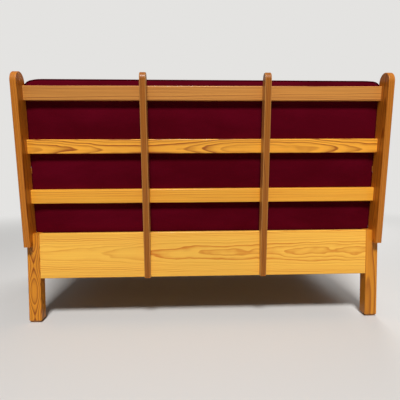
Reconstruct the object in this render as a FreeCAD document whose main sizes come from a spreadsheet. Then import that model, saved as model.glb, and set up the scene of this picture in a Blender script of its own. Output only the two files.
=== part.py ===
"""Pine two-seat bench whose slatted seat pulls out to a bed, modelled as its loose pieces.

Millimetres. X runs along the bench (left is -X, seen by someone in front of it), the sitting
side is -Y and Z is up. The origin lies on the floor at the middle of the bench's box.
"""

import FreeCAD, Part
import math
import os
import re

import Sketcher
from FreeCAD import Placement, Rotation, Vector

# Driving sizes, all in millimetres but the rake, which is in degrees
DRIVING = {
    # Frame
    "bench_width": 1300.0,
    "frame_depth": 930.0,
    "leg_side": 45.0,
    "leg_chamfer": 9.0,
    "board_thickness": 22.0,
    "edge_round": 2.5,
    "apron_height": 166.0,
    "apron_setback": 2.6,
    "rear_leg_height": 330.0,
    # Back
    "back_rake": 6.84,
    "notch_depth": 45.0,
    "post_setout": 27.7,
    "post_shoulder": 854.0,
    "middle_post_depth": 46.0,
    "middle_post_rise": 8.0,
    "rail_height": 50.0,
    "top_rail_drop": 54.5,
    "middle_rail_offset": 1.75,
    "lower_rail_base": 439.0,
    # Arms
    "arm_height": 570.0,
    "arm_width": 65.0,
    "arm_outset": 20.0,
    "arm_overhang": 12.0,
    "arm_neck": 165.0,
    "arm_swell": 260.0,
    "arm_nose_flat": 5.0,
    # Slatted seat
    "slat_top": 290.0,
    "slat_width": 70.0,
    "slat_thickness": 20.0,
    "slat_round": 3.0,
    "ledger_width": 45.0,
    "running_gap": 3.0,
    "slide_gap": 0.3,
    "stop_notch": 2.0,
    "stop_setback": 3.0,
    "glide_diameter": 24.0,
    "glide_height": 3.0,
    # Cushions
    "soft_gap": 0.3,
    "seat_layer": 74.0,
    "seat_crown": 6.0,
    "seat_draw": 5.0,
    "seat_bulge": 5.0,
    "seat_side_gap": 5.0,
    "fold_gap": 0.3,
    "back_thickness": 130.0,
    "back_crown": 12.0,
    "back_draw": 6.0,
    "back_bulge": 9.0,
    "back_lap": 8.0,
    "back_rise": 24.0,
}

# Worked-out sizes and places, Y counted from the rear faces of the rear legs
WORKED = {
    "half_width": "bench_width / 2",
    "inner_half": "half_width - leg_side",
    "post_depth": "middle_post_depth + board_thickness",
    "middle_post_shoulder": "post_shoulder + middle_post_rise",
    "top_rail_base": "post_shoulder - top_rail_drop",
    "middle_rail_base": "(top_rail_base + lower_rail_base) / 2 - middle_rail_offset",
    "back_top": "post_shoulder + back_rise",
    "rail_half": "half_width - board_thickness",
    "middle_post_x": "(rail_half - board_thickness) / 3 + board_thickness / 2",
    "rake_slope": "tan(back_rake)",
    "notch_height": "rear_leg_height - notch_depth",
    "post_front": "post_depth / cos(back_rake) - post_setout",
    "outer_reach": "(post_shoulder - notch_height) * rake_slope + post_depth / 2 * (1 - cos(back_rake))",
    "middle_reach": "(middle_post_shoulder - notch_height) * rake_slope"
                    " + middle_post_depth / 2 * (1 - cos(back_rake))",
    "post_reach": "post_setout + max(outer_reach; middle_reach)",
    "rear_y": "(frame_depth + arm_overhang - post_reach) / 2",
    "apron_base": "rear_leg_height - apron_height",
    "apron_front": "apron_setback + board_thickness",
    "arm_leg_height": "arm_height - board_thickness",
    "arm_inner": "half_width + arm_outset - arm_width",
    "arm_corner": "(arm_width - arm_nose_flat) / 2",
    "slat_base": "slat_top - slat_thickness",
    "ledger_base": "slat_base - ledger_width",
    "ledger_front": "apron_front + board_thickness",
    "slide_back": "max(ledger_front; leg_side)",
    "side_rail_inner": "half_width - apron_setback - board_thickness",
    "side_rail_back": "max(leg_side; post_front)",
    "pull_out_half": "inner_half - running_gap",
    "pull_out_back": "frame_depth - board_thickness",
    "cross_bar_front": "pull_out_back - leg_side - running_gap",
    "cross_bar_back": "cross_bar_front - board_thickness",
    "stop_bar_back": "ledger_front + stop_setback",
    "stop_bar_half": "side_rail_inner - ledger_width - running_gap",
    "outer_slat_x": "pull_out_half - slat_width / 2",
    "seat_floor": "slat_top + slide_gap + soft_gap",
    "seat_front": "pull_out_back - running_gap",
    "fold_height": "seat_floor + seat_layer + fold_gap / 2",
    "seat_half": "min(inner_half; arm_inner) - seat_side_gap",
    "back_half": "rail_half + back_lap",
    "back_plane": "post_front + soft_gap",
    "back_foot_front": "back_plane + (notch_height - seat_floor) * rake_slope"
                       " + (back_thickness + back_crown) / cos(back_rake)",
    "seat_depth": "seat_front - back_foot_front - soft_gap",
}

SLATS_ON_PULL_OUT = 6
STRAIGHT_SHARE = 1e-6
SIDES = (("left", -1), ("right", 1))

doc = FreeCAD.newDocument("pull_out_bench")
nodes = []


def fill_sheet(name, cells):
    """A sheet with one named cell for each entry, a plain number or a sum of named cells."""
    sheet = doc.addObject("Spreadsheet::Sheet", name)
    for row, (alias, content) in enumerate(cells.items(), 1):
        owner[alias] = name + "."
        sheet.set(f"A{row}", alias)
        sheet.set(f"B{row}", f"={named(content)}" if isinstance(content, str) else str(content))
        sheet.setAlias(f"B{row}", alias)
    doc.recompute()
    return sheet


def named(text):
    """The expression with every named size led by the sheet that holds it."""
    return re.sub(r"[a-z][a-z_]*", lambda word: owner.get(word[0], "") + word[0], str(text))


def value(text):
    """What an expression of named sizes comes to."""
    return float(places.evalExpression(named(text)))


owner = {}
fill_sheet("Sizes", DRIVING)
places = fill_sheet("Places", WORKED)


def new_body(name, x=0, y=0, z=0):
    """An empty body, its own origin at x, at y from the rear legs' rear faces, and at z."""
    body = doc.addObject("PartDesign::Body", name)
    body.Label = name
    body.setExpression("Placement.Base.x", named(x))
    body.setExpression("Placement.Base.y", named(f"rear_y + {y}"))
    body.setExpression("Placement.Base.z", named(z))
    nodes.append(body)
    return body


def new_sketch(body, role):
    """A sketch on one of the body's own origin planes."""
    sketch = body.newObject("Sketcher::SketchObject", body.Label + "_sketch")
    plane = next(item for item in body.Origin.OriginFeatures if item.Role == role)
    sketch.AttachmentSupport = [(plane, "")]
    sketch.MapMode = "FlatFace"
    return sketch


def arc_between(start, end, radius):
    """The arc of this radius from start to end, turning left, or right where it is negative."""
    chord = end - start
    left = Vector(-chord.y, chord.x, 0).normalize()
    drop = math.sqrt(radius * radius - chord.Length ** 2 / 4)
    centre = (start + end) / 2 + left * math.copysign(drop, radius)
    first, last = (start, end) if radius > 0 else (end, start)
    angles = [math.atan2(spot.y - centre.y, spot.x - centre.x) for spot in (first, last)]
    if angles[1] < angles[0]:
        angles[1] += 2 * math.pi
    return Part.ArcOfCircle(Part.Circle(centre, Vector(0, 0, 1), abs(radius)), *angles)


def outline(body, role, points):
    """A closed sketch through points given as pairs of expressions.

    A third expression makes the run to the next point an arc of that radius, which turns left,
    or right where it is negative.
    """
    sketch = new_sketch(body, role)
    spots = [Vector(value(point[0]), value(point[1]), 0) for point in points]
    bends = [value(point[2]) if len(point) > 2 else 0 for point in points]
    count = len(points)
    for index, (spot, bend) in enumerate(zip(spots, bends)):
        after = spots[(index + 1) % count]
        run = arc_between(spot, after, bend) if bend else Part.LineSegment(spot, after)
        sketch.addGeometry(run, False)
    starts = [2 if bend < 0 else 1 for bend in bends]
    for index in range(count):
        after = (index + 1) % count
        joint = Sketcher.Constraint("Coincident", index, 3 - starts[index], after, starts[after])
        sketch.addConstraint(joint)
    for index, point in enumerate(points):
        for kind, text in zip(("DistanceX", "DistanceY"), point):
            spot = Sketcher.Constraint(kind, -1, 1, index, starts[index], value(text))
            number = sketch.addConstraint(spot)
            sketch.setExpression(f"Constraints[{number}]", named(text))
        if bends[index]:
            number = sketch.addConstraint(Sketcher.Constraint("Radius", index, abs(bends[index])))
            sketch.setExpression(f"Constraints[{number}]", named(f"abs({point[2]})"))
    return sketch


def circle(body, role, centre, diameter):
    """A sketch of one circle, its centre given as a pair of expressions."""
    sketch = new_sketch(body, role)
    spot = Vector(value(centre[0]), value(centre[1]), 0)
    sketch.addGeometry(Part.Circle(spot, Vector(0, 0, 1), value(diameter) / 2), False)
    for kind, text in zip(("DistanceX", "DistanceY"), centre):
        number = sketch.addConstraint(Sketcher.Constraint(kind, -1, 1, 0, 3, value(text)))
        sketch.setExpression(f"Constraints[{number}]", named(text))
    number = sketch.addConstraint(Sketcher.Constraint("Diameter", 0, value(diameter)))
    sketch.setExpression(f"Constraints[{number}]", named(diameter))
    return sketch


def pad(body, sketch, length):
    """The sketch carried towards the positive side of its plane."""
    feature = body.newObject("PartDesign::Pad", body.Label + "_pad")
    feature.Profile = sketch
    feature.Reversed = sketch.AttachmentSupport[0][0].Role == "XZ_Plane"
    feature.setExpression("Length", named(length))
    doc.recompute()
    return feature


def pocket(body, sketch, length):
    """The sketch cut into the body towards the positive side of its plane."""
    before = body.Shape.Volume
    feature = body.newObject("PartDesign::Pocket", body.Label + "_pocket")
    feature.Profile = sketch
    feature.Reversed = sketch.AttachmentSupport[0][0].Role != "XZ_Plane"
    feature.setExpression("Length", named(length))
    doc.recompute()
    if not body.Shape.Volume < before:
        raise RuntimeError(f"{feature.Label} cuts nothing")
    return feature


def ease_edges(body, radius, chosen, kind="Fillet"):
    """The edges that the test picks, rounded or chamfered."""
    base = body.Tip
    picked = [f"Edge{index}" for index, edge in enumerate(base.Shape.Edges, 1) if chosen(edge)]
    feature = body.newObject("PartDesign::" + kind, body.Label + "_" + kind.lower())
    feature.Base = (base, picked)
    feature.setExpression("Radius" if kind == "Fillet" else "Size", named(radius))
    doc.recompute()
    return feature


def runs_along(axis):
    """A test for straight edges along one axis of the body, 0 for X, 1 for Y and 2 for Z."""
    def test(edge):
        start, end = (edge.Vertexes[index].Point for index in (0, -1))
        drifts = [abs(end[other] - start[other]) for other in range(3) if other != axis]
        return max(drifts) < edge.Length * STRAIGHT_SHARE
    return test


def board(name, spans, corner, along, radius="edge_round", foot_bevel=None):
    """A planed board from its lowest corner, the edges along its grain rounded."""
    body = new_body(name, *corner)
    wide, deep, high = spans
    pad(body, outline(body, "XY_Plane", [(0, 0), (wide, 0), (wide, deep), (0, deep)]), high)
    if foot_bevel:
        ease_edges(body, foot_bevel, lambda edge: edge.BoundBox.ZMax < value(foot_bevel), "Chamfer")
    ease_edges(body, radius, runs_along(along))
    return body


# Rear legs, each with its outer half cut away at the top to seat a back post
def rear_leg(side, sign):
    body = board(
        f"rear_leg_{side}",
        ("leg_side", "leg_side", "rear_leg_height"),
        ("inner_half" if sign > 0 else "-half_width", "-leg_side", 0),
        along=2,
        foot_bevel="leg_chamfer",
    )
    near, far = ("leg_side - board_thickness", "leg_side") if sign > 0 else (0, "board_thickness")
    notch = [
        (near, "notch_height"),
        (far, "notch_height"),
        (far, "rear_leg_height"),
        (near, "rear_leg_height"),
    ]
    pocket(body, outline(body, "XZ_Plane", notch), "leg_side")


# Back posts, raked boards on edge with half-round tops
def raked_line(height, inset=0):
    """How far behind the rear legs the posts' rear edges lie at a height, less an inset."""
    return f"(post_setout + ({height} - notch_height) * rake_slope - {inset} / cos(back_rake))"


def post_head(depth, shoulder):
    """The centre of a half-round post top of this depth."""
    return (
        f"{raked_line(shoulder)} - {depth} / 2 * cos(back_rake)",
        f"{shoulder} + {depth} / 2 * sin(back_rake)",
    )


def raked_post(name, centre_x, depth, shoulder, foot):
    """A post of this depth: the foot's points, the raked length and the round head."""
    body = new_body(name, f"{centre_x} - board_thickness / 2")
    shank = foot + [
        (raked_line(shoulder), shoulder),
        (f"{raked_line(shoulder)} - {depth} * cos(back_rake)", f"{shoulder} + {depth} * sin(back_rake)"),
    ]
    pad(body, outline(body, "YZ_Plane", shank), "board_thickness")
    pad(body, circle(body, "YZ_Plane", post_head(depth, shoulder), depth), "board_thickness")
    ease_edges(body, "edge_round", lambda edge: edge.BoundBox.ZLength > value("edge_round"))


def back_post(side, sign):
    foot = [
        (raked_line("notch_height", "post_depth"), "notch_height"),
        (raked_line("notch_height"), "notch_height"),
    ]
    centre = f"{sign} * (half_width - board_thickness / 2)"
    raked_post(f"back_post_{side}", centre, "post_depth", "post_shoulder", foot)


# Middle posts, set on the rails from behind and cut back below to lie on the apron
def middle_post(side, sign):
    foot = [
        (raked_line("rear_leg_height", "middle_post_depth"), "rear_leg_height"),
        ("-apron_setback", "rear_leg_height"),
        ("-apron_setback", "apron_base"),
        (raked_line("apron_base"), "apron_base"),
    ]
    raked_post(
        f"middle_post_{side}", f"{sign} * middle_post_x", "middle_post_depth", "middle_post_shoulder", foot
    )


# Back rails, raked with the posts and flush with their front edges
def back_rail(name, base):
    body = new_body(name, "-rail_half")
    lower = raked_line(base, "middle_post_depth")
    up, out = "rail_height", "board_thickness"
    section = [
        (lower, base),
        (f"{lower} - {out} * cos(back_rake)", f"{base} + {out} * sin(back_rake)"),
        (
            f"{lower} - {out} * cos(back_rake) + {up} * sin(back_rake)",
            f"{base} + {out} * sin(back_rake) + {up} * cos(back_rake)",
        ),
        (f"{lower} + {up} * sin(back_rake)", f"{base} + {up} * cos(back_rake)"),
    ]
    pad(body, outline(body, "YZ_Plane", section), "2 * rail_half")
    ease_edges(body, "edge_round", runs_along(0))


# Apron and side rails, boards on edge between the legs
def seat_frame():
    board(
        "rear_apron",
        ("2 * inner_half", "board_thickness", "apron_height"),
        ("-inner_half", "-apron_front", "apron_base"),
        along=0,
    )
    for side, sign in SIDES:
        board(
            f"side_rail_{side}",
            ("board_thickness", "frame_depth - leg_side - side_rail_back", "apron_height"),
            (
                "side_rail_inner" if sign > 0 else "-side_rail_inner - board_thickness",
                "leg_side - frame_depth",
                "apron_base",
            ),
            along=1,
        )


# Arm legs and the shaped armrests that widen from the posts towards the front
def arm(side, sign):
    board(
        f"arm_leg_{side}",
        ("leg_side", "leg_side", "arm_leg_height"),
        ("inner_half" if sign > 0 else "-half_width", "-frame_depth", 0),
        along=2,
        foot_bevel="leg_chamfer",
    )
    body = new_body(f"armrest_{side}", 0, 0, "arm_leg_height")
    butt = raked_line("arm_leg_height", "post_depth")
    narrow, between, wide = (
        f"{butt} - arm_neck",
        f"{butt} - arm_neck - arm_swell / 2",
        f"{butt} - arm_neck - arm_swell",
    )
    front = "-(frame_depth + arm_overhang)"
    swell_out = f"{sign} * (arm_swell ^ 2 + arm_outset ^ 2) / (4 * arm_outset)"
    shift_in = "(rail_half - arm_inner)"
    swell_in = f"{sign} * (arm_swell ^ 2 + {shift_in} ^ 2) / (4 * {shift_in})"
    plan = [
        (f"{sign} * half_width", butt),
        (f"{sign} * half_width", narrow, swell_out),
        (f"{sign} * (half_width + arm_outset / 2)", between, f"-({swell_out})"),
        (f"{sign} * (half_width + arm_outset)", wide),
        (f"{sign} * (half_width + arm_outset)", front),
        (f"{sign} * arm_inner", front),
        (f"{sign} * arm_inner", wide, f"-({swell_in})"),
        (f"{sign} * (rail_half + arm_inner) / 2", between, swell_in),
        (f"{sign} * rail_half", narrow),
        (f"{sign} * rail_half", butt),
    ]
    pad(body, outline(body, "XY_Plane", plan), "board_thickness")
    nose = value(f"{front} + arm_corner")
    ease_edges(body, "arm_corner", lambda edge: runs_along(2)(edge) and edge.BoundBox.YMax < nose)
    seated = value(f"{butt} - edge_round")
    ease_edges(body, "edge_round", lambda edge: edge.BoundBox.ZLength < value("edge_round")
               and edge.BoundBox.YMin < seated)


# Fixed half of the slatted seat: ledgers, the cross bar and the slats screwed down on them
def slat_spot(number):
    """The middle of one of the interleaved slats, counted from the left, the even ones moving."""
    return f"outer_slat_x * {number - (SLATS_ON_PULL_OUT - 1)} / {SLATS_ON_PULL_OUT - 1}"


def fixed_seat():
    board(
        "rear_slat_ledger",
        ("2 * inner_half", "board_thickness", "ledger_width"),
        ("-inner_half", "-ledger_front", "ledger_base"),
        along=0,
    )
    board(
        "front_cross_bar",
        ("2 * side_rail_inner", "board_thickness", "ledger_width"),
        ("-side_rail_inner", "-cross_bar_front", "ledger_base"),
        along=0,
    )
    for side, sign in SIDES:
        board(
            f"slide_ledger_{side}",
            ("ledger_width", "cross_bar_back - slide_back", "board_thickness"),
            (
                "side_rail_inner - ledger_width" if sign > 0 else "-side_rail_inner",
                "-cross_bar_back",
                "slat_base - board_thickness",
            ),
            along=1,
        )
    for number in range(1, 2 * SLATS_ON_PULL_OUT - 1, 2):
        board(
            f"fixed_slat_{(number + 1) // 2}",
            ("slat_width", "cross_bar_front - apron_front", "slat_thickness"),
            (f"{slat_spot(number)} - slat_width / 2", "-cross_bar_front", "slat_base"),
            along=1,
            radius="slat_round",
        )


# Pull-out half: front rail on two legs, slats between the fixed ones and the notched stop bar
def pull_out():
    board(
        "pull_out_front_rail",
        ("2 * pull_out_half", "board_thickness", "slat_top - apron_base"),
        ("-pull_out_half", "-frame_depth", "apron_base"),
        along=0,
    )
    board(
        "pull_out_slat_ledger",
        ("2 * (pull_out_half - leg_side)", "board_thickness", "ledger_width"),
        ("leg_side - pull_out_half", "-pull_out_back", "ledger_base + slide_gap"),
        along=0,
    )
    for side, sign in SIDES:
        board(
            f"pull_out_leg_{side}",
            ("leg_side", "leg_side", "slat_base + slide_gap - glide_height"),
            (
                "pull_out_half - leg_side" if sign > 0 else "-pull_out_half",
                "-pull_out_back",
                "glide_height",
            ),
            along=2,
            foot_bevel="leg_chamfer",
        )
    for number in range(0, 2 * SLATS_ON_PULL_OUT, 2):
        board(
            f"moving_slat_{number // 2 + 1}",
            ("slat_width", "pull_out_back - stop_bar_back", "slat_thickness"),
            (f"{slat_spot(number)} - slat_width / 2", "-pull_out_back", "slat_base + slide_gap"),
            along=1,
            radius="slat_round",
        )
    stop = board(
        "stop_bar",
        ("2 * stop_bar_half", "board_thickness", "ledger_width"),
        ("-stop_bar_half", "-stop_bar_back - board_thickness", "ledger_base + slide_gap"),
        along=0,
    )
    for number in range(1, 2 * SLATS_ON_PULL_OUT - 1, 2):
        left = f"{slat_spot(number)} - slat_width / 2 - running_gap + stop_bar_half"
        right = f"{slat_spot(number)} + slat_width / 2 + running_gap + stop_bar_half"
        notch = [
            (left, "ledger_width - stop_notch"),
            (right, "ledger_width - stop_notch"),
            (right, "ledger_width"),
            (left, "ledger_width"),
        ]
        pocket(stop, outline(stop, "XZ_Plane", notch), "board_thickness")


def glides():
    """A round glide under each leg that travels."""
    made = []
    for side, sign in SIDES:
        glide = doc.addObject("Part::Cylinder", f"glide_{side}")
        glide.setExpression("Radius", named("glide_diameter / 2"))
        glide.setExpression("Height", named("glide_height"))
        glide.setExpression("Placement.Base.x", named(f"{sign} * (pull_out_half - leg_side / 2)"))
        glide.setExpression("Placement.Base.y", named("rear_y - pull_out_back + leg_side / 2"))
        made.append(glide)
    group = doc.addObject("Part::Compound", "pull_out_glides")
    group.Label = "pull_out_glides"
    group.Links = made
    nodes.append(group)


# Cushions: lofts whose sections have a flat resting face, bulged sides and a crowned face
def cushion_section(x, width, thickness, bulge, crown):
    """One closed section across the cushion, its resting face on z = 0."""
    half, middle = width / 2, thickness / 2
    plan = ((-half, 0), (half, 0), (half, thickness), (-half, thickness))
    corners = [Vector(x, y, z) for y, z in plan]
    return Part.Wire([
        Part.makeLine(corners[0], corners[1]),
        Part.Arc(corners[1], Vector(x, half + bulge, middle), corners[2]).toShape(),
        Part.Arc(corners[2], Vector(x, 0, thickness + crown), corners[3]).toShape(),
        Part.Arc(corners[3], Vector(x, -half - bulge, middle), corners[0]).toShape(),
    ])


# Stations along a cushion from end to end, and how much of its end crown each one keeps
STATION_SHARES = (-1.0, -0.5, 0.0, 0.5, 1.0)
END_CROWN_SHARE = 0.25


def cushion(length, width, thickness, bulge, crown, draw):
    """A crowned cushion along X whose long sides are drawn in between its corners."""
    sections = []
    for share in STATION_SHARES:
        middle = 1 - share * share
        rise = crown * (END_CROWN_SHARE + (1 - END_CROWN_SHARE) * middle)
        across = width - 2 * bulge - 2 * draw * middle
        sections.append(cushion_section(share * length / 2, across, thickness - crown, bulge, rise))
    return Part.makeLoft(sections, True, False)


def soft_node(name, shape, place):
    """A cushion's shape, set at its place."""
    feature = doc.addObject("Part::Feature", name)
    feature.Label = name
    feature.Shape = shape
    feature.Placement = place
    nodes.append(feature)


def cushions():
    rear, depth = value("rear_y"), value("seat_depth - soft_gap")
    layer = cushion(
        2 * value("seat_half"), depth, value("seat_layer"),
        value("seat_bulge"), value("seat_crown"), value("seat_draw"),
    )
    middle = rear - value("seat_front - soft_gap") + depth / 2
    for name, base in (
        ("seat_mattress_lower", "seat_floor"),
        ("seat_mattress_leaf", "fold_height + fold_gap / 2"),
    ):
        soft_node(name, layer, Placement(Vector(0, middle, value(base)), Rotation()))

    rake, floor = math.radians(value("back_rake")), value("seat_floor")
    rise = (value("back_top") - floor) / math.cos(rake)
    spare = value("back_thickness") * math.tan(rake) + value("back_bulge")
    upright = cushion(
        2 * value("back_half"), rise + spare, value("back_thickness"),
        value("back_bulge"), value("back_crown"), value("back_draw"),
    )
    foot = Vector(0, rear + value(raked_line("seat_floor", "post_depth")) - value("soft_gap"), floor)
    climb = Vector(0, math.sin(rake), math.cos(rake))
    tilt = Rotation(Vector(1, 0, 0), 90 - value("back_rake"))
    upright.Placement = Placement(foot + climb * ((rise - spare) / 2), tilt)
    reach = value("frame_depth")
    under_seat = Part.makeBox(2 * reach, 2 * reach, reach, Vector(-reach, -reach, floor - reach))
    rooms = [
        Part.makeBox(reach, 2 * reach, value(f"{top} - ({base}) + 2 * soft_gap"),
                     Vector(value(f"{inner} - soft_gap"), start, value(f"{base} - soft_gap")))
        for inner, start, base, top in (
            ("inner_half", rear - value("leg_side + soft_gap"), "slat_base", "rear_leg_height"),
            ("side_rail_inner", -reach, "slat_base", "rear_leg_height"),
            ("rail_half", -reach, "arm_leg_height", "arm_height"),
        )
    ]
    rooms += [room.mirror(Vector(), Vector(1, 0, 0)) for room in rooms]
    soft_node("back_cushion", upright.cut([under_seat, *rooms]).Solids[0], Placement())


def assemble():
    for side, sign in SIDES:
        rear_leg(side, sign)
        back_post(side, sign)
        middle_post(side, sign)
        arm(side, sign)
    back_rail("top_rail", "top_rail_base")
    back_rail("middle_rail", "middle_rail_base")
    back_rail("lower_rail", "lower_rail_base")
    seat_frame()
    fixed_seat()
    pull_out()
    glides()
    cushions()


def write_parts():
    """Every node to its own file, once all of the document is sound."""
    doc.recompute()
    for item in doc.Objects:
        if {"Invalid", "Error"} & set(item.State):
            raise RuntimeError(f"{item.Label} failed: {item.State}")
    for node in nodes:
        if node.Shape.isNull() or not node.Shape.isValid():
            raise RuntimeError(f"{node.Label} has no sound shape")
    os.makedirs("parts", exist_ok=True)
    for node in nodes:
        node.Shape.exportStep(f"parts/{node.Label}.step")
        box = node.Shape.BoundBox
        print(f"{node.Label}: {len(node.Shape.Solids)} solid, {node.Shape.Volume / 1000:.0f} cm3,"
              f" x {box.XMin:.1f} {box.XMax:.1f}, y {box.YMin:.1f} {box.YMax:.1f},"
              f" z {box.ZMin:.1f} {box.ZMax:.1f}")


assemble()
write_parts()
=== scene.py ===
"""Pine pull-out bench bed: its finishes and velvet cushions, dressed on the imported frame.

Metres. X runs along the bench, the sitting side is -Y and Z is up from the floor.
"""

import math

import bpy
import numpy as np
from mathutils import Matrix, Vector


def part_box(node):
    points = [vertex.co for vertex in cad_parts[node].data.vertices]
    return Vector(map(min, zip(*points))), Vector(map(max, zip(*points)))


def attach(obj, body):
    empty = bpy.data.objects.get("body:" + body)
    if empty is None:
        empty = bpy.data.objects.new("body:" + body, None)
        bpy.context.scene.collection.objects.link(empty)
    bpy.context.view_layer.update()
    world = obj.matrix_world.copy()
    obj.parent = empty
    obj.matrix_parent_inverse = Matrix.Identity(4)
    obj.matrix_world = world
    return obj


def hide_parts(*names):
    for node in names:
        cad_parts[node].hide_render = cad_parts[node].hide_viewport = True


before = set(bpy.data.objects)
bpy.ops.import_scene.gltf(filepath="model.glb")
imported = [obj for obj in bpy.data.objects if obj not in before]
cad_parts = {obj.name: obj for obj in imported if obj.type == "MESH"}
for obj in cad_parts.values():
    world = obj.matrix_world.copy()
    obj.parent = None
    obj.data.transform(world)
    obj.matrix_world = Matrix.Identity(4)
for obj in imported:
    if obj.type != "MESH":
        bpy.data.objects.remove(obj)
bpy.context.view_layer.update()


# The studio: a plain pale floor without an edge in view, which throws back less light than it
# shows, a pale surround, a soft lamp above and behind the camera and a wider, weak one opposite.
# The camera stands behind the bench, as high as someone crouching, and looks a little down.
def linear(red, green, blue):
    """A colour seen on a screen, 0 to 255, as the linear values that a shader takes.

    By the screen's rule a low share is divided by 12.92. To any other 0.055 is added, the sum
    is divided by 1.055, and the outcome is raised to the power 2.4.
    """
    shares = np.array([red, green, blue]) / 255
    return (*np.where(shares <= 0.04045, shares / 12.92, ((shares + 0.055) / 1.055) ** 2.4), 1.0)


class Finish:
    """The nodes of a material or of the world, laid and joined one by one."""

    def __init__(self, owner):
        owner.use_nodes = True
        self.owner, self.tree = owner, owner.node_tree
        self.shader = self.tree.nodes.get("Principled BSDF")

    def fill(self, node, inputs):
        """Each input takes a value, or is joined to another node's output."""
        for key, source in dict(inputs).items():
            if isinstance(source, bpy.types.NodeSocket):
                self.tree.links.new(source, node.inputs[key])
            else:
                node.inputs[key].default_value = source
        return node

    def add(self, kind, inputs=(), **settings):
        """A node of this kind, with its settings made before its inputs are filled."""
        node = self.tree.nodes.new("ShaderNode" + kind)
        for key, setting in settings.items():
            setattr(node, key, setting)
        return self.fill(node, inputs)

    def place(self):
        """The point being shaded, where it is while the bench is at rest."""
        return self.add("TexCoord").outputs["Object"]

    def maths(self, operation, *values, clamped=False):
        """A sum, a product or the like of these values."""
        return self.add("Math", enumerate(values), operation=operation, use_clamp=clamped).outputs[0]

    def ranged(self, value, before=(0, 1), after=(0, 1), smooth=False):
        """A value carried from one range to another and held at its ends, evenly or in an S."""
        inputs = dict(zip(("From Min", "From Max", "To Min", "To Max"), (*before, *after)), Value=value)
        kind = "SMOOTHSTEP" if smooth else "LINEAR"
        return self.add("MapRange", inputs, interpolation_type=kind).outputs["Result"]

    def mixed(self, share, first, second, blend="MIX"):
        """Two colours mixed by a share."""
        inputs = {"Factor": share, "A": first, "B": second}
        return self.add("Mix", inputs, data_type="RGBA", blend_type=blend).outputs["Result"]


FLOOR_HALF, FLOOR_ROUGHNESS = 14.0, 0.8
SEEN_FLOOR, FELT_FLOOR = linear(217, 215, 212), linear(168, 166, 163)
BACKDROP = {"Color": linear(228, 227, 225), "Strength": 1.0}
HAZE_REACH = (1.2, 5.0)
floor_corners = np.array([(-1, -1, 0), (1, -1, 0), (1, 1, 0), (-1, 1, 0)]) * FLOOR_HALF
floor_mesh = bpy.data.meshes.new("floor")
floor_mesh.from_pydata(floor_corners.tolist(), [], [(0, 1, 2, 3)])
floor = bpy.data.objects.new("floor", floor_mesh)
bpy.context.collection.objects.link(floor)
ground = Finish(bpy.data.materials.new("pale_floor"))
distance = ground.add("VectorMath", {0: ground.place()}, operation="LENGTH").outputs["Value"]
haze = ground.ranged(distance, HAZE_REACH, smooth=True)
watched = ground.add("LightPath").outputs["Is Camera Ray"]
floor_tone = ground.mixed(watched, FELT_FLOOR, SEEN_FLOOR)
ground.fill(ground.shader, {"Base Color": floor_tone, "Roughness": FLOOR_ROUGHNESS})
veil = ground.maths("MULTIPLY", haze, watched)
far_away = ground.add("Emission", BACKDROP).outputs[0]
faded = ground.add("MixShader", {0: veil, 1: ground.shader.outputs[0], 2: far_away}).outputs[0]
ground.fill(ground.tree.nodes["Material Output"], {"Surface": faded})
floor_mesh.materials.append(ground.owner)

SURROUND_TONE, SURROUND_LIGHT, MIRRORED_LIGHT = linear(236, 238, 242), 0.09, 0.35
bpy.context.scene.world = bpy.data.worlds.new("surround")
surround = Finish(bpy.context.scene.world)
paths = surround.add("LightPath")
glow = surround.ranged(paths.outputs["Is Glossy Ray"], after=(SURROUND_LIGHT, MIRRORED_LIGHT))
around = surround.fill(surround.tree.nodes["Background"], {"Color": SURROUND_TONE, "Strength": glow})
behind = surround.add("Background", BACKDROP)
either = {0: paths.outputs["Is Camera Ray"], 1: around.outputs[0], 2: behind.outputs[0]}
shown = surround.add("MixShader", either).outputs[0]
surround.fill(surround.tree.nodes["World Output"], {"Surface": shown})

BENCH_MIDDLE = (0, 0, 0.45)
KEY_LAMP = {"place": (0.1, 4.5, 5.3), "side": 1.2, "power": 455}
FRONT_LAMP = {"place": (-1.2, -3.0, 2.4), "side": 2.0, "power": 85, "mirrored": False}


def soft_lamp(name, place, side, power, mirrored=True):
    """A square lamp, turned towards the bench, and mirrored in the lacquer or not."""
    lamp = bpy.data.lights.new(name, "AREA")
    lamp.size, lamp.energy = side, power
    holder = bpy.data.objects.new(name, lamp)
    holder.location = place
    holder.visible_glossy = mirrored
    holder.rotation_euler = (Vector(BENCH_MIDDLE) - Vector(place)).to_track_quat("-Z", "Y").to_euler()
    bpy.context.collection.objects.link(holder)


soft_lamp("key", **KEY_LAMP)
soft_lamp("front", **FRONT_LAMP)

# The view, as worked out from the bench's own edges in the picture. The eye is given from the
# rear faces of the legs; the turn to the side, the look down and the tilt are in degrees.
EYE = (0.069, 1.37046, 0.52338)
YAW, PITCH, ROLL = (math.radians(angle) for angle in (2.1009, 3.1456, 0.3755))
FOCAL_PIXELS, FRAME_PIXELS, SENSOR = 373.63, 400, 36.0
rear_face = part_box("rear_leg_left")[1].y
across = Vector((-math.cos(YAW), math.sin(YAW), 0))
away = Vector((-math.sin(YAW), -math.cos(YAW), 0))
upright = Vector((0, 0, 1))
ahead = math.cos(PITCH) * away - math.sin(PITCH) * upright
above = math.sin(PITCH) * away + math.cos(PITCH) * upright
right = math.cos(ROLL) * across - math.sin(ROLL) * above
top = math.sin(ROLL) * across + math.cos(ROLL) * above
camera_data = bpy.data.cameras.new("camera")
camera_data.sensor_width = SENSOR
camera_data.lens = SENSOR * FOCAL_PIXELS / FRAME_PIXELS
camera = bpy.data.objects.new("camera", camera_data)
turn = Matrix((right, top, -ahead)).transposed()
camera.matrix_world = Matrix.Translation((EYE[0], rear_face + EYE[1], EYE[2])) @ turn.to_4x4()
bpy.context.collection.objects.link(camera)
bpy.context.scene.camera = camera
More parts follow.
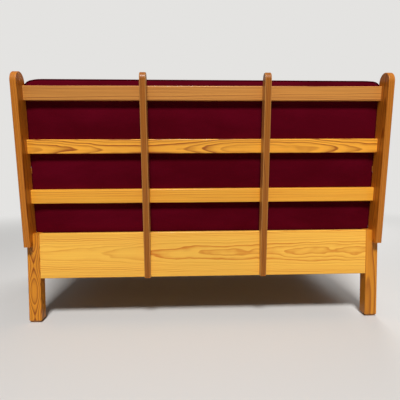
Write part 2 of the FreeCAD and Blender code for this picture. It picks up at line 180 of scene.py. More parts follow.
bpy.context.scene.view_settings.view_transform = "Standard"

# Back posts and rails of clear-lacquered pine, aged to amber. The boards are planed, their
# arrises rounded; the outer posts stand on edge with half-round heads, and the rails are
# screwed between them. The grain follows each board.
RAKE = math.radians(6.84)
UP_GRAIN = (0, 0, 0)
LONG_GRAIN = (0, -math.pi / 2, 0)
DEEP_GRAIN = (math.pi / 2, 0, 0)
RAKED_GRAIN = (RAKE, 0, 0)

# Waves of each noise to a metre, twice across the grain and once along it
DRIFT_WAVES, RIPPLE_WAVES, KNOT_WAVES = (5.0, 5.0, 1.1), (26.0, 26.0, 9.0), (6.0, 6.0, 1.9)
STREAK_WAVES, FIBRE_WAVES = (170.0, 170.0, 2.2), (1100.0, 1100.0, 14.0)
DRIFT_DETAIL, STREAK_DETAIL = {"Detail": 3.0, "Roughness": 0.45}, {"Detail": 3.0}
RING_WIDTH, KNOT_RANGE = 0.0036, (0.05, 0.42)
YEAR_WAVES, YEAR_SWING = 0.21, 1.6
# How dark the wood is at these shares of a ring; its first and last are pale
LATE_WOOD = ((0.35, 0.08), (0.68, 0.5), (0.84, 1.0), (0.93, 0.85))
FAINTEST_RING, STREAK_SHARE, EARLY_SHARE = 0.3, 0.5, 0.16
DRIFT_RANGE, DRIFT_DEPTH = (0.3, 0.7), (0.9, 1.08)
FIBRE_SHARE, RING_RELIEF = 0.14, 0.35
# A painted highlight: the arrises of some boards are blended towards this paler tone, over a band in
# from the edge
ARRIS_HIGHLIGHT_TONE, ARRIS_HIGHLIGHT_SHARE = (206, 146, 78), 0.75
ARRIS_HIGHLIGHT_FROM, ARRIS_HIGHLIGHT_TO = 0.0032, 0.0008
GLOSS_RANGE = (0.34, 0.5)
GRAIN_BUMP = {"Strength": 0.12, "Distance": 0.0004}
LACQUER = {"Specular IOR Level": 0.3, "Coat Weight": 0.2, "Coat Roughness": 0.16}


def noise(finish, spot, waves, scale=1.0, **settings):
    """Noise round one half at a point, whose coordinates are first multiplied by the waves."""
    waved = finish.add("Mapping", {"Vector": spot, "Scale": waves}).outputs[0]
    return finish.add("TexNoise", {"Vector": waved, "Scale": scale, **settings}).outputs["Fac"]


def pine(name, turned, heart, early, late, ring=RING_WIDTH, taper=0.03, waver=0.010, eyes=0.004,
         ripple=0.0022, sway=(0.0, 0.1), rubbed=None):
    """Lacquered pine, worked out from the tree it was sawn from.

    The tree's heart line runs through the point heart, and turned brings the board's grain to
    the local Z. The distance from that line is added to a taper along it, a slow waver, a
    short ripple, a sway given as its depth and length, and swellings round a few knots. Divided
    by the ring's width, it counts the rings, which a slow noise along the radius makes wider in
    fat years and narrower in lean ones. Each ring goes slowly from pale early wood to a dark
    line of late wood and back at once, and its strength differs from ring to ring. Where a
    middle and a half width across X are given, the arrises there are painted paler: a painted
    highlight on their rounded edges.
    """
    wood = Finish(bpy.data.materials.new(name))
    place = wood.place()
    centred = wood.add("VectorMath", {0: place, 1: heart}, operation="SUBTRACT").outputs[0]
    local = wood.add("Mapping", {"Vector": centred, "Rotation": turned}).outputs[0]

    # The distance from the heart line, and all that bends the rings
    flat = wood.add("VectorMath", {0: local, 1: (1, 1, 0)}, operation="MULTIPLY").outputs[0]
    radius = wood.add("VectorMath", {0: flat}, operation="LENGTH").outputs["Value"]
    height = wood.add("SeparateXYZ", {0: local}).outputs["Z"]
    sway_depth, sway_length = sway
    swing = wood.maths("SINE", wood.maths("MULTIPLY", height, 2 * math.pi / sway_length))
    swayed = wood.maths("MULTIPLY_ADD", swing, sway_depth, radius)
    coned = wood.maths("MULTIPLY_ADD", height, taper, swayed)
    drift = noise(wood, local, DRIFT_WAVES, **DRIFT_DETAIL)
    wavered = wood.maths("MULTIPLY_ADD", drift, waver, coned)
    rippled = wood.maths("MULTIPLY_ADD", noise(wood, local, RIPPLE_WAVES), ripple, wavered)
    knot_spot = wood.add("Mapping", {"Vector": local, "Scale": KNOT_WAVES}).outputs[0]
    knots = wood.add("TexVoronoi", {"Vector": knot_spot, "Scale": 1.0})
    swelling = wood.ranged(knots.outputs["Distance"], KNOT_RANGE, (eyes, 0.0), smooth=True)
    grown = wood.maths("ADD", rippled, swelling)

    # The rings, counted outwards, and how far each has gone from early wood to late
    even = wood.maths("DIVIDE", grown, ring)
    years = {"W": even, "Scale": YEAR_WAVES, "Detail": 1.0}
    harvest = wood.add("TexNoise", years, noise_dimensions="1D").outputs["Fac"]
    rings = wood.maths("MULTIPLY_ADD", harvest, YEAR_SWING, even)
    season = wood.add("ValToRGB", {"Fac": wood.maths("FRACT", rings)})
    stops = season.color_ramp.elements
    stops[1].color = stops[0].color
    for spot, level in LATE_WOOD:
        stops.new(spot).color = (level, level, level, 1)
    count = wood.maths("FLOOR", rings)
    year = wood.add("TexWhiteNoise", {"W": count}, noise_dimensions="1D").outputs["Value"]
    strength = wood.ranged(year, after=(FAINTEST_RING, 1.0))
    shown = wood.maths("MULTIPLY", season.outputs["Color"], strength)

    # The colour: early to late wood, streaked along the grain, deeper here and there, and on some
    # boards a painted highlight along the arrises
    streak = noise(wood, local, STREAK_WAVES, **STREAK_DETAIL)
    streaked = wood.maths("MULTIPLY_ADD", streak, STREAK_SHARE, shown)
    level = wood.maths("SUBTRACT", streaked, EARLY_SHARE, clamped=True)
    depth = wood.ranged(drift, DRIFT_RANGE, DRIFT_DEPTH)
    tone = wood.mixed(level, linear(*early), linear(*late))
    tanned = wood.add("HueSaturation", {"Color": tone, "Value": depth}).outputs["Color"]
    fibre = noise(wood, local, FIBRE_WAVES)
    surface = wood.mixed(FIBRE_SHARE, tanned, fibre, blend="OVERLAY")
    # Painted highlight: the arrises are made paler, as where light catches their rounding
    if rubbed:
        middle_x, half_x = rubbed
        side = wood.maths("SUBTRACT", wood.add("SeparateXYZ", {0: place}).outputs["X"], middle_x)
        edge = (half_x - ARRIS_HIGHLIGHT_FROM, half_x - ARRIS_HIGHLIGHT_TO)
        arris_highlight = wood.ranged(wood.maths("ABSOLUTE", side), edge, (0.0, ARRIS_HIGHLIGHT_SHARE), smooth=True)
        surface = wood.mixed(arris_highlight, surface, linear(*ARRIS_HIGHLIGHT_TONE))

    # The lacquer, thin enough to show the fibres and the harder late wood in its surface
    relief = wood.maths("MULTIPLY_ADD", shown, RING_RELIEF, fibre)
    normal = wood.add("Bump", {"Height": relief, **GRAIN_BUMP}).outputs["Normal"]
    gloss = wood.ranged(fibre, after=GLOSS_RANGE)
    wood.fill(wood.shader, {"Base Color": surface, "Roughness": gloss, "Normal": normal, **LACQUER})
    return wood.owner


def dress(material, *names):
    """These pieces of the frame take the material."""
    for name in names:
        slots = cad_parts[name].data.materials
        slots.clear()
        slots.append(material)


def dress_board(name, grain, offset, tones, **growth):
    """A board of the frame takes pine of its own, sawn at an offset from its tree's heart."""
    low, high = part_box(name)
    heart = tuple((low + high) / 2 + Vector(offset))
    dress(pine(f"pine_{name}", grain, heart, *tones, **growth), name)


OUTER_POST_HEART, OUTER_POST_TONES = (0.05, 0.02, 0), ((205, 124, 30), (138, 67, 8))
RAILS = {
    "top_rail": {"offset": (0.3, -0.040, -0.050), "tones": ((213, 145, 65), (131, 68, 27)),
                 "taper": 0.012, "ripple": 0.0030},
    "middle_rail": {"offset": (-0.015, -0.034, -0.006), "tones": ((255, 178, 56), (156, 76, 14)),
                    "ring": 0.0040, "taper": 0.002, "ripple": 0.0064, "sway": (0.0066, 0.94)},
    "lower_rail": {"offset": (0.1, -0.060, 0.060), "tones": ((255, 184, 58), (200, 112, 28)),
                   "ring": 0.0032, "taper": 0.008},
}
for post in ("back_post_left", "back_post_right"):
    dress_board(post, RAKED_GRAIN, OUTER_POST_HEART, OUTER_POST_TONES)
for rail, board in RAILS.items():
    dress_board(rail, LONG_GRAIN, **board)

# Middle posts, redder and darker than the rest and lacquered like the rest. They are screwed to
# the rails from behind and cut back at the foot to lie flat on the apron.
MIDDLE_POST_TONES, MIDDLE_POST_RING = ((168, 98, 22), (118, 60, 8)), 0.0028
MIDDLE_POST_HEARTS = {"middle_post_left": (0.02, -0.03, 0), "middle_post_right": (-0.025, -0.03, 0)}
for post, offset in MIDDLE_POST_HEARTS.items():
    low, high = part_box(post)
    # The middle posts take a painted highlight, paler along both arrises
    rubbed = ((low.x + high.x) / 2, (high.x - low.x) / 2)
    dress_board(post, RAKED_GRAIN, offset, MIDDLE_POST_TONES, ring=MIDDLE_POST_RING, rubbed=rubbed)

# Legs of square pine, sawn near the heart, so that their faces show long loops. The one on the
# photo's left stands round the heart itself and has a chain of spindle-shaped eyes.
LEG_TONES = ((232, 148, 36), (150, 74, 10))
LEG_GROWTH = {"ring": 0.0046, "taper": 0.006, "waver": 0.005, "eyes": 0.0}
QUIET, SPINDLES = (0.0008, 0.3), (0.0038, 0.19)
LEGS = {
    "rear_leg_left": ((0.012, -0.050, 0), QUIET),
    "rear_leg_right": ((0.001, 0.002, 0), SPINDLES),
    "arm_leg_left": ((0.030, 0.040, 0), QUIET),
    "arm_leg_right": ((-0.020, 0.045, 0), QUIET),
    "pull_out_leg_left": ((0.020, 0.050, 0), QUIET),
    "pull_out_leg_right": ((-0.020, 0.050, 0), QUIET),
}
for leg, (offset, sway) in LEGS.items():
    dress_board(leg, UP_GRAIN, offset, LEG_TONES, sway=sway, **LEG_GROWTH)

# Apron, side rails and the pull-out's front rail: wide boards on edge, screwed to the legs. The
# apron is the palest board of the back, with a long flame figure along its middle.
APRON_HEART, APRON_TONES = (0.24, -0.095, 0.004), ((255, 196, 78), (214, 128, 34))
APRON_GROWTH = {"ring": 0.0031, "taper": 0.013, "waver": 0.014, "ripple": 0.0060, "eyes": 0.002,
                "sway": (0.0008, 0.5)}
FRONT_HEART, FRONT_TONES = (-0.3, 0.06, 0.12), ((250, 186, 80), (196, 110, 30))
FRONT_GROWTH = {"ring": 0.0060, "taper": 0.01, "sway": (0.002, 0.3)}
SIDE_HEART, SIDE_RING = (0.06, 0, 0.02), 0.005
dress_board("rear_apron", LONG_GRAIN, APRON_HEART, APRON_TONES, **APRON_GROWTH)
dress_board("pull_out_front_rail", LONG_GRAIN, FRONT_HEART, FRONT_TONES, **FRONT_GROWTH)
for rail in ("side_rail_left", "side_rail_right"):
    dress_board(rail, DEEP_GRAIN, SIDE_HEART, FRONT_TONES, ring=SIDE_RING)

# Armrests, sawn to their curves from wider boards and screwed down on the arm legs. Use has
# rubbed them a little paler than the legs.
ARM_TONES = ((240, 168, 64), (188, 106, 28))
ARM_HEARTS = {"armrest_left": (0.02, 0, -0.07), "armrest_right": (-0.03, 0, -0.07)}
for rest, offset in ARM_HEARTS.items():
    dress_board(rest, DEEP_GRAIN, offset, ARM_TONES)

# Slats and the bars that carry them, of plainer pine with a thin coat only. Like pieces were
# cut from one board, so each group shares its wood.
SLAT_TONES = ((240, 194, 120), (206, 148, 76))
BAR_HEART, BAR_RING = (0, 0, 0.1), 0.0036
SLAT_HEART, SLAT_RING = (0.02, 0, 0.21), 0.0038
bar_wood = pine("pine_bars", LONG_GRAIN, BAR_HEART, *SLAT_TONES, ring=BAR_RING)
dress(bar_wood, "rear_slat_ledger", "front_cross_bar", "stop_bar", "pull_out_slat_ledger")
slat_wood = pine("pine_slats", DEEP_GRAIN, SLAT_HEART, *SLAT_TONES, ring=SLAT_RING)
slats = [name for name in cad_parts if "_slat_" in name and "ledger" not in name]
dress(slat_wood, "slide_ledger_left", "slide_ledger_right", *slats)

# Zinc-plated screws with a cross recess hold each slat down on its two bars, two at each end.
# Their low round heads stand just proud of the wood.
HEAD_GRID, HEAD_DOME, HEAD_LIFT = 17, 0.00025, 0.0001
SCREW_RADIUS, SCREW_SPREAD = 0.0036, 0.018
CROSS_HALF, CROSS_ARM, CROSS_DEPTH = 0.00055, 0.0020, 0.0009
ZINC_GRIT, ZINC_DARK, ZINC_LIGHT = 700.0, (150, 150, 152), (196, 194, 186)
ZINC_SURFACE = {"Metallic": 1.0, "Roughness": 0.38}
TINY = 1e-9


def gritty(name, grit, dark, light, surface):
    """A finish that goes from a dark tone to a light one in fine grit."""
    finish = Finish(bpy.data.materials.new(name))
    grain = finish.add("TexNoise", {"Vector": finish.place(), "Scale": grit}).outputs["Fac"]
    tint = finish.mixed(grain, linear(*dark), linear(*light))
    finish.fill(finish.shader, {"Base Color": tint, **surface})
    return finish.owner


def mesh_piece(name, points, faces, material):
    """A smooth object of these points and faces, at the origin."""
    mesh = bpy.data.meshes.new(name)
    mesh.from_pydata(points.tolist(), [], faces)
    mesh.materials.append(material)
    mesh.polygons.foreach_set("use_smooth", [True] * len(mesh.polygons))
    piece = bpy.data.objects.new(name, mesh)
    bpy.context.collection.objects.link(piece)
    return piece


def round_heads(name, spots, radius, cross, material, body):
    """Low round heads at these points, all in one mesh, with or without a cross recess.

    A square grid is laid on a disc: each point keeps its direction, and its distance becomes
    the larger of its two coordinates. The height falls from the dome's rise at the middle to
    nothing at the rim with the square of that distance.
    """
    side = np.linspace(-1, 1, HEAD_GRID)
    across, along = np.meshgrid(side, side, indexing="ij")
    span = np.maximum(np.abs(across), np.abs(along))
    stretch = radius * span / np.maximum(np.hypot(across, along), TINY)
    x, y = across * stretch, along * stretch
    z = HEAD_DOME * (1 - span ** 2)
    if cross:
        thin, far = np.minimum(np.abs(x), np.abs(y)), np.maximum(np.abs(x), np.abs(y))
        z = z - CROSS_DEPTH * ((thin < CROSS_HALF) & (far < CROSS_ARM))
    head = np.stack([x, y, z], -1).reshape(-1, 3)
    row, column = np.meshgrid(np.arange(HEAD_GRID - 1), np.arange(HEAD_GRID - 1), indexing="ij")
    corner = (row * HEAD_GRID + column).ravel()
    quads = np.stack([corner, corner + HEAD_GRID, corner + HEAD_GRID + 1, corner + 1], -1)
    points = (np.array(spots)[:, None, :] + head[None]).reshape(-1, 3)
    faces = (quads[None] + (np.arange(len(spots)) * len(head))[:, None, None]).reshape(-1, 4)
    piece = mesh_piece(name, points, faces.tolist(), material)
    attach(piece, body)


zinc = gritty("zinc", ZINC_GRIT, ZINC_DARK, ZINC_LIGHT, ZINC_SURFACE)
for kind, bars, body in (("fixed", ("rear_slat_ledger", "front_cross_bar"), "root"),
                         ("moving", ("stop_bar", "pull_out_slat_ledger"), "pull_out_frame")):
    spots = []
    for slat in slats:
        if slat.startswith(kind):
            low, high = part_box(slat)
            slat_x, head_z = (low.x + high.x) / 2, high.z + HEAD_LIFT
            for bar in bars:
                low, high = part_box(bar)
                bar_y = (low.y + high.y) / 2
                spots += [(slat_x + step, bar_y, head_z) for step in (-SCREW_SPREAD, SCREW_SPREAD)]
    round_heads(f"{kind}_slat_screws", spots, SCREW_RADIUS, True, zinc, body)

# Wooden plugs close the holes of the screws that hold each armrest on its leg. Their end grain
# has darkened more than the board round them.
PLUG_RADIUS, PLUG_SPREAD = 0.0050, 0.011
PLUG_TONES, PLUG_HEART = ((196, 116, 44), (140, 72, 18)), (0, 0, 0.6)
PLUG_GROWTH = {"ring": 0.0016, "waver": 0.004}
plug_wood = pine("pine_plugs", UP_GRAIN, PLUG_HEART, *PLUG_TONES, **PLUG_GROWTH)
spots = []
for side in ("left", "right"):
    low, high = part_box(f"arm_leg_{side}")
    leg_x, leg_y = (low.x + high.x) / 2, (low.y + high.y) / 2
    plug_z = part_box(f"armrest_{side}")[1].z + HEAD_LIFT
    spots += [(leg_x, leg_y + step, plug_z) for step in (-PLUG_SPREAD, PLUG_SPREAD)]
round_heads("armrest_plugs", spots, PLUG_RADIUS, False, plug_wood, "root")

# Brown plastic glides, moulded in one with their spigots and pressed into the two feet that
# travel over the floor.
GLIDE_GRIT, GLIDE_DARK, GLIDE_LIGHT = 900.0, (70, 50, 34), (92, 68, 48)
GLIDE_SURFACE = {"Roughness": 0.55}
brown = gritty("glide_brown", GLIDE_GRIT, GLIDE_DARK, GLIDE_LIGHT, GLIDE_SURFACE)
dress(brown, "pull_out_glides")

# Velvet cushions: foam blocks in boxed covers of wine-red velvet, sewn with a thin welt round
# each panel. The cover is blown up a little as the foam fills it, then held to the frame.
VELVET_TONES, WELT_TONES = ((76, 1, 15), (88, 3, 22)), ((66, 1, 12), (80, 2, 18))
BRUSHED_WAVES, BRUSHED_RANGE = (1.0, 1.6, 2.2), (0.38, 0.66)
BRUSHED_DETAIL = {"scale": 3.5, "Detail": 4.0, "Roughness": 0.55, "Distortion": 0.4}
PILE_GRAIN, PILE_SHARE = {"Scale": 1400.0, "Detail": 1.0}, 0.3
PILE_BUMP = {"Strength": 0.3, "Distance": 0.0006}
VELVET_SURFACE = {"Roughness": 0.9, "Specular IOR Level": 0.03, "Sheen Weight": 0.18,
                  "Sheen Roughness": 0.35, "Sheen Tint": linear(170, 14, 46)}


def velvet(name, ground, nap):
    """Short cut pile: fine grain, a slow brushed shading and a soft bloom at grazing angles."""
    cloth = Finish(bpy.data.materials.new(name))
    place = cloth.place()
    lie = cloth.ranged(noise(cloth, place, BRUSHED_WAVES, **BRUSHED_DETAIL), BRUSHED_RANGE)
    pile = cloth.add("TexNoise", {"Vector": place, **PILE_GRAIN}).outputs["Fac"]
    blend = cloth.mixed(lie, linear(*ground), linear(*nap))
    grained = cloth.mixed(PILE_SHARE, blend, pile, blend="OVERLAY")
    normal = cloth.add("Bump", {"Height": pile, **PILE_BUMP}).outputs["Normal"]
    cloth.fill(cloth.shader, {"Base Color": grained, "Normal": normal, **VELVET_SURFACE})
    return cloth.owner


cover_cloth = velvet("wine_velvet", *VELVET_TONES)
welt_cloth = velvet("wine_welt", *WELT_TONES)

RIM, CORNER = 0.014, 0.024
LOOP_POINTS, LOOP_STEPS, RIM_STEPS = 400, 4000, 7
SEAM_INSET = RIM * (1 - math.sqrt(0.5))


def panel_loop(half_x, half_y, level):
    """Points at one level round a rectangle with round corners, evenly stepped.

    An angle turns once; at each angle the point is the middle of that quarter's corner plus
    the corner's radius along the angle. The jumps between corners become the straight sides.
    """
    angle = (np.arange(LOOP_STEPS) + 0.5) / LOOP_STEPS * 2 * math.pi
    outward = np.stack([np.cos(angle), np.sin(angle)], -1)
    corners = np.sign(outward) * (np.array([half_x, half_y]) - CORNER) + CORNER * outward
    closed = np.vstack([corners, corners[:1]])
    walked = np.r_[0, np.cumsum(np.linalg.norm(np.diff(closed, axis=0), axis=1))]
    even = np.linspace(0, walked[-1], LOOP_POINTS, endpoint=False)
    x, y = (np.interp(even, walked, closed[:, axis]) for axis in (0, 1))
    return np.stack([x, y, np.full(LOOP_POINTS, level)], -1)


def boxed_cover(half_x, half_y, half_z):
    """A closed block with round corners and round rims.

    Loops run round it from panel to panel. Over each rim they follow a quarter circle, whose
    sine gives the rise above the border and whose cosine the step out from the panel.
    """
    quarter = np.linspace(math.pi / 2, 0, RIM_STEPS)
    inset = RIM * (1 - np.cos(quarter))
    level = half_z - RIM * (1 - np.sin(quarter))
    insets, levels = np.r_[inset, inset[::-1]], np.r_[level, -level[::-1]]
    loops = [panel_loop(half_x - step, half_y - step, height) for step, height in zip(insets, levels)]
    row, column = np.meshgrid(np.arange(len(loops) - 1), np.arange(LOOP_POINTS), indexing="ij")
    beside = (column + 1) % LOOP_POINTS
    sides = np.stack([row * LOOP_POINTS + column, (row + 1) * LOOP_POINTS + column,
                      (row + 1) * LOOP_POINTS + beside, row * LOOP_POINTS + beside], -1).reshape(-1, 4)
    first = np.arange(LOOP_POINTS)
    last = first[::-1] + (len(loops) - 1) * LOOP_POINTS
    return np.vstack(loops), [*sides.tolist(), first.tolist(), last.tolist()]


def read_points(piece):
    """The points of a piece's mesh, one to a row."""
    points = np.empty(len(piece.data.vertices) * 3, np.float32)
    piece.data.vertices.foreach_get("co", points)
    return points.reshape(-1, 3).astype(float)


def set_points(piece, points):
    """Moves a piece's points to these."""
    piece.data.vertices.foreach_set("co", np.ascontiguousarray(points, np.float32).ravel())
    piece.data.update()


def apply_all(piece):
    """The piece's modifiers become part of its mesh."""
    solid = bpy.data.meshes.new_from_object(piece.evaluated_get(bpy.context.evaluated_depsgraph_get()))
    piece.modifiers.clear()
    old, piece.data = piece.data, solid
    bpy.data.meshes.remove(old)


VOXEL, SEAM_HOLD, FILL_FRAMES = 0.009, 0.0105, 20
FILLING = {
    "use_pressure": True,
    "uniform_pressure_force": 4.0,
    "vertex_group_mass": "seams",
    "quality": 5,
    "mass": 0.3,
    "tension_stiffness": 12,
    "compression_stiffness": 12,
    "bending_stiffness": 1.5,
}


def fill_cover(piece, half, reach):
    """Remeshes a closed cover, blows it up by cloth simulation and holds its seams.

    Points near the two seams are pinned. A point's distance from a seam is worked out from how
    far it is inside the panel's rounded outline and how far from the seam's level. Every other
    point may move by up to reach; a longer move is drawn back to that length.
    """
    remesh = piece.modifiers.new("even", "REMESH")
    remesh.mode = "VOXEL"
    remesh.voxel_size = VOXEL
    remesh.use_smooth_shade = True
    apply_all(piece)
    rest = read_points(piece)
    past_corner = np.abs(rest[:, :2]) - np.array(half[:2]) + CORNER
    round_corner = np.linalg.norm(np.maximum(past_corner, 0), axis=1)
    inside = CORNER - round_corner - np.minimum(past_corner.max(1), 0)
    off_level = half[2] - SEAM_INSET - np.abs(rest[:, 2])
    near_edge = np.hypot(inside - SEAM_INSET, off_level) < SEAM_HOLD
    pins = piece.vertex_groups.new(name="seams")
    pins.add(np.flatnonzero(near_edge).tolist(), 1.0, "REPLACE")
    cloth = piece.modifiers.new("filling", "CLOTH").settings
    cloth.effector_weights.gravity = 0
    for key, setting in FILLING.items():
        setattr(cloth, key, setting)
    for step in range(1, FILL_FRAMES + 1):
        bpy.context.scene.frame_set(step)
    apply_all(piece)
    bpy.context.scene.frame_set(1)
    moved = read_points(piece) - rest
    length = np.maximum(np.linalg.norm(moved, axis=1, keepdims=True), TINY)
    return rest + moved * np.minimum(1, reach / length)


def smooth_off(piece):
    """One round of subdivision takes the voxels out of a cover."""
    finer = piece.modifiers.new("finer", "SUBSURF")
    finer.levels = finer.render_levels = 1


WELT_RADIUS, WELT_SIDES = 0.0022, 8


def welt_ring(name, path):
    """A thin closed roll of the cover's cloth through the points of a loop.

    At each point the tangent is the difference of its neighbours; the two axes of the circle
    are the loop's outward direction and the tangent crossed with it.
    """
    ahead_of = np.roll(path, -1, 0) - np.roll(path, 1, 0)
    tangent = ahead_of / np.linalg.norm(ahead_of, axis=1, keepdims=True)
    outward = path - path.mean(0)
    outward -= (outward * tangent).sum(1, keepdims=True) * tangent
    outward /= np.linalg.norm(outward, axis=1, keepdims=True)
    third = np.cross(tangent, outward)
    angle = np.linspace(0, 2 * math.pi, WELT_SIDES, endpoint=False)[None, :, None]
    circle = np.cos(angle) * outward[:, None, :] + np.sin(angle) * third[:, None, :]
    points = (path[:, None, :] + WELT_RADIUS * circle).reshape(-1, 3)
    row, column = np.meshgrid(np.arange(len(path)), np.arange(WELT_SIDES), indexing="ij")
    after, beside = (row + 1) % len(path), (column + 1) % WELT_SIDES
    faces = np.stack([row * WELT_SIDES + column, after * WELT_SIDES + column,
                      after * WELT_SIDES + beside, row * WELT_SIDES + beside], -1).reshape(-1, 4)
    return mesh_piece(name, points, faces.tolist(), welt_cloth)


# The back cushion stands on the slats and leans on the rails; its back is pressed flat where
# the rails touch it and swells a little between them, its foot is flat on the slats. It laps in
# front of the outer posts, and the armrests and side rails dent it.
BOARD, BACK_THICKNESS, FREE = 0.022, 0.130, 0.001
BACK_REACH, BACK_FILL = 0.022, 0.75
BACK_TOP, BACK_SAG = 0.879, 0.004
BETWEEN_RAILS, SWELL_POWER = 0.005, 0.6
SIDE_LAP, LAP_POWER, ARM_DENT = 0.011, 0.7, 0.026
CORNER_RUN, CORNER_DROOP = 0.070, {1: 0.014, -1: 0.006}
soft_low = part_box("back_cushion")[0]
layer_low, layer_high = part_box("seat_mattress_lower")
leaf_low, leaf_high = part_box("seat_mattress_leaf")
leg_low, leg_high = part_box("rear_leg_right")
arm_low, arm_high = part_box("armrest_right")
rail_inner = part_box("side_rail_right")[0].x
post_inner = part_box("top_rail")[1].x
rail_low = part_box("lower_rail")[0]
lean = np.array(Matrix.Rotation(math.pi / 2 - RAKE, 3, "X"))
climb = Vector((0, math.sin(RAKE), math.cos(RAKE)))
facing = Vector((0, -math.cos(RAKE), math.sin(RAKE)))
rail_front = Vector((0, rail_low.y, rail_low.z + BOARD * math.sin(RAKE)))
foot = rail_front + climb * ((soft_low.z - rail_front.z) / climb.z)
half_width = post_inner + SIDE_LAP
half_height = (BACK_TOP - soft_low.z) / climb.z / 2
middle = foot + climb * half_height + facing * (BACK_THICKNESS / 2 + FREE)
half = (half_width, half_height, BACK_THICKNESS / 2)
back = mesh_piece("back_cushion_cover", *boxed_cover(*half), cover_cloth)
filled = fill_cover(back, half, BACK_REACH)


def climbed(height):
    """A height above the floor as a distance up the lean from the cushion's middle."""
    return (height - middle.z) / climb.z


# Half a sine between one board and the next, raised to a power that makes it fuller
edges = [-half_height]
for rail in ("lower_rail", "middle_rail", "top_rail"):
    low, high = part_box(rail)
    edges += [climbed(low.z + BOARD * math.sin(RAKE)), climbed(high.z)]
edges.append(half_height)
room = np.zeros(len(filled))
for below, over in zip(edges[::2], edges[1::2]):
    share = np.clip((filled[:, 1] - below) / (over - below), 0, 1)
    room += BETWEEN_RAILS * np.sin(math.pi * share) ** SWELL_POWER
room *= np.clip((post_inner - np.abs(filled[:, 0])) / ARM_DENT, 0, 1)
filled[:, 2] = np.maximum(filled[:, 2], -BACK_THICKNESS / 2 - room)
filled[:, 0] = np.clip(filled[:, 0], -half_width, half_width)


def press_out(points, inner, front, top):
    """Moves the points that lie in a rear leg to its nearest open face.

    Each point's depth is measured behind the inner, the front and the upper face. Where all
    three are above zero the point is in the leg, and the least names the face it goes to.
    """
    depths = np.stack([np.abs(points[:, 0]) - inner, points[:, 1] - front, top - points[:, 2]])
    in_leg, nearest = (depths > 0).all(0), depths.argmin(0)
    to_inner, to_front, to_top = (in_leg & (nearest == face) for face in range(3))
    points[to_inner, 0] = np.sign(points[to_inner, 0]) * inner
    points[to_front, 1] = front
    points[to_top, 2] = top


def stood(local):
    """Points of the lying cushion, stood up, leant on the rails and kept out of its neighbours.

    From its middle up the cushion sags towards the photo's right and droops at both ends, and
    both grow with the square of the way up. Its sides lap in front of the posts, but beside the
    armrests they are drawn in between them, and lower down they clear the side rails.
    """
    placed = local @ lean.T + np.array(middle)
    upper = np.clip(local[:, 1] / half_height, 0, 1) ** 2
    placed[:, 2] -= BACK_SAG * (1 - local[:, 0] / half_width) / 2 * upper
    for side, droop in CORNER_DROOP.items():
        outer = np.clip((side * local[:, 0] - half_width) / CORNER_RUN + 1, 0, 1)
        placed[:, 2] -= droop * outer ** 2 * upper
    placed[:, 2] = np.maximum(placed[:, 2], soft_low.z + FREE)
    off_arm = np.maximum(placed[:, 2] - arm_high.z, arm_low.z - placed[:, 2]) / ARM_DENT
    reach = post_inner - FREE + SIDE_LAP * np.clip(off_arm, 0, 1) ** LAP_POWER
    below_rail = placed[:, 2] < leg_high.z + 2 * FREE
    reach[below_rail] = np.minimum(reach[below_rail], rail_inner - FREE)
    placed[:, 0] = np.clip(placed[:, 0], -reach, reach)
    press_out(placed, leg_low.x - FREE, leg_low.y - FREE, leg_high.z + FREE)
    beside_seat = placed[:, 2] < leaf_high.z
    placed[beside_seat, 1] = np.maximum(placed[beside_seat, 1], layer_high.y + FREE)
    return placed


set_points(back, stood(filled))
smooth_off(back)
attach(back, "root")
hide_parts("back_cushion")
seam_level = BACK_THICKNESS / 2 - SEAM_INSET
for label, level in (("front", seam_level), ("rear", -seam_level)):
    loop = panel_loop(half_width - SEAM_INSET, half_height - SEAM_INSET, level)
    welt = welt_ring(f"back_cushion_welt_{label}", stood(loop))
    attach(welt, "root")

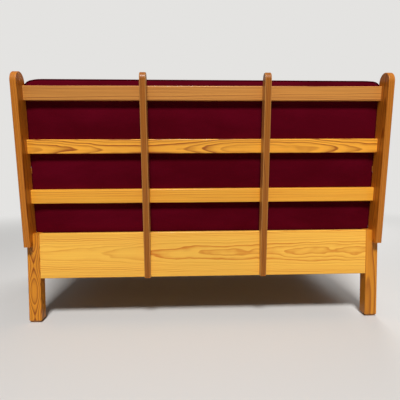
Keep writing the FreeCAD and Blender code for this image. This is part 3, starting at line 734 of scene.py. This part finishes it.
# The seat mattress is two equal layers sewn together along the front edge. The upper one turns
# forward over that seam; both are foam in the same velvet. One cover is filled for both, and the
# upper layer has it turned half round.
LAYER_SHRINK, SEAT_REACH, SEAT_FILL = 0.003, 0.012, 0.7
span = (layer_high - layer_low) / 2
centre = (layer_high + layer_low) / 2
fold = (leaf_low.z - layer_low.z) / 2
half = (span.x - LAYER_SHRINK, span.y - LAYER_SHRINK, fold - FREE)
lower = mesh_piece("seat_mattress_lower_cover", *boxed_cover(*half), cover_cloth)
filled = fill_cover(lower, half, SEAT_REACH)
filled = np.clip(filled, (-span.x, -span.y, FREE - fold), (span.x, span.y, fold - FREE))
leaf = lower.copy()
leaf.data = lower.data.copy()
leaf.name = "seat_mattress_leaf_cover"
bpy.context.collection.objects.link(leaf)
lower_at = Vector((0, centre.y, layer_low.z + fold))
leaf_at = Vector((0, centre.y, leaf_low.z + fold))
set_points(lower, filled + np.array(lower_at))
set_points(leaf, filled * (-1, -1, 1) + np.array(leaf_at))
for piece, body, layer, level_at in (
    (lower, "root", "seat_mattress_lower", lower_at),
    (leaf, "mattress_leaf", "seat_mattress_leaf", leaf_at),
):
    smooth_off(piece)
    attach(piece, body)
    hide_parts(layer)
    for label, sign in (("top", 1), ("bottom", -1)):
        loop = panel_loop(half[0] - SEAM_INSET, half[1] - SEAM_INSET, sign * (half[2] - SEAM_INSET))
        welt = welt_ring(f"{layer}_welt_{label}", loop + np.array(level_at))
        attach(welt, body)

# A roll of the same velvet is sewn over the seam that the two layers fold about. It is a
# straight tube, a circle carried along X, closed at both ends.
FOLD_RADIUS, FOLD_SIDES, FOLD_STEPS = 0.0028, 10, 40
turned_round = np.linspace(0, 2 * math.pi, FOLD_SIDES, endpoint=False)
along_x = np.linspace(CORNER - half[0], half[0] - CORNER, FOLD_STEPS)
points = np.stack([
    np.repeat(along_x, FOLD_SIDES),
    layer_low.y + LAYER_SHRINK + FOLD_RADIUS * np.tile(np.cos(turned_round), FOLD_STEPS),
    leaf_low.z + FOLD_RADIUS * np.tile(np.sin(turned_round), FOLD_STEPS),
], -1)
row, column = np.meshgrid(np.arange(FOLD_STEPS - 1), np.arange(FOLD_SIDES), indexing="ij")
beside = (column + 1) % FOLD_SIDES
faces = np.stack([(row + 1) * FOLD_SIDES + column, (row + 1) * FOLD_SIDES + beside,
                  row * FOLD_SIDES + beside, row * FOLD_SIDES + column], -1).reshape(-1, 4)
first = np.arange(FOLD_SIDES)
ends = [first[::-1].tolist(), (first + (FOLD_STEPS - 1) * FOLD_SIDES).tolist()]
fold_seam = mesh_piece("seat_mattress_fold_seam", points, faces.tolist() + ends, welt_cloth)
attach(fold_seam, "root")
